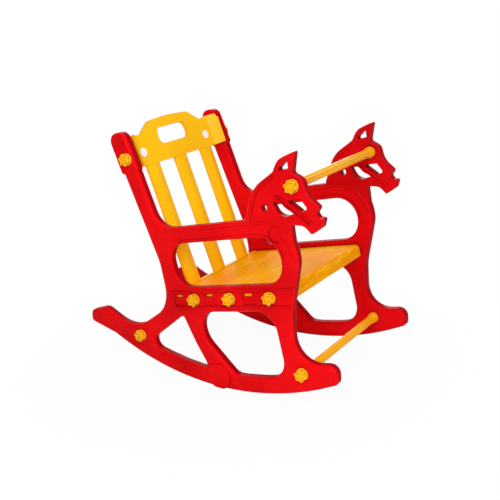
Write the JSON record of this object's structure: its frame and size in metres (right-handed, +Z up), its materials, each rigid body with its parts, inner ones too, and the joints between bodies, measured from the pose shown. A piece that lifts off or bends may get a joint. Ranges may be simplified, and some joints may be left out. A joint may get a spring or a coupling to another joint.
{
  "type": "rocking horse chair",
  "caption": "Child's rocking horse chair: horse-shaped side panels on rockers, joined by a seat tray, a slatted backrest and cross bars, held by star knobs.",
  "frame": {"origin": "centre of the bounding box's underside, on the floor; the chair stands empty, leaning back at the angle where it balances", "axes": "+X the way the horse faces, +Y its left, +Z up"},
  "size_m": [0.6586, 0.3522, 0.5489],
  "materials": {
    "red_plastic": "gloss",
    "yellow_plastic": "gloss",
    "white_film": "matte"
  },
  "bodies": {
    "chair": {"side_panel_right": "red_plastic", "side_panel_left": "red_plastic", "seat": "yellow_plastic", "backrest": "yellow_plastic", "label_disc_right": "white_film", "label_disc_left": "white_film", "handle_bar": "yellow_plastic", "foot_bar": "yellow_plastic", "rear_bar": "yellow_plastic", "cap_post": "yellow_plastic", "cap_rail_rear": "yellow_plastic", "cap_rail_mid": "yellow_plastic", "cap_rail_front": "yellow_plastic", "cap_tail": "yellow_plastic", "cap_toe": "yellow_plastic", "cap_head": "yellow_plastic"},
    "post_knob": {"knob_post": "yellow_plastic"},
    "rail_rear_knob": {"knob_rail_rear": "yellow_plastic"},
    "rail_mid_knob": {"knob_rail_mid": "yellow_plastic"},
    "rail_front_knob": {"knob_rail_front": "yellow_plastic"},
    "tail_knob": {"knob_tail": "yellow_plastic"},
    "toe_knob": {"knob_toe": "yellow_plastic"},
    "head_knob": {"knob_head": "yellow_plastic"}
  },
  "joints": [
    {"name": "post_knob_turn", "type": "hinge", "parent": "chair", "child": "post_knob", "pos_m": [-0.14948, -0.167, 0.48304], "axis": [0, 1, 0], "continuous": true},
    {"name": "rail_rear_knob_turn", "type": "hinge", "parent": "chair", "child": "rail_rear_knob", "pos_m": [-0.00244, -0.167, 0.1952], "axis": [0, 1, 0], "continuous": true},
    {"name": "rail_mid_knob_turn", "type": "hinge", "parent": "chair", "child": "rail_mid_knob", "pos_m": [0.08989, -0.167, 0.21281], "axis": [0, 1, 0], "continuous": true},
    {"name": "rail_front_knob_turn", "type": "hinge", "parent": "chair", "child": "rail_front_knob", "pos_m": [0.18812, -0.167, 0.23155], "axis": [0, 1, 0], "continuous": true},
    {"name": "tail_knob_turn", "type": "hinge", "parent": "chair", "child": "tail_knob", "pos_m": [-0.16842, -0.167, 0.08065], "axis": [0, 1, 0], "continuous": true},
    {"name": "toe_knob_turn", "type": "hinge", "parent": "chair", "child": "toe_knob", "pos_m": [0.25362, -0.167, 0.08296], "axis": [0, 1, 0], "continuous": true},
    {"name": "head_knob_turn", "type": "hinge", "parent": "chair", "child": "head_knob", "pos_m": [0.25167, -0.167, 0.45878], "axis": [0, 1, 0], "continuous": true}
  ]
}
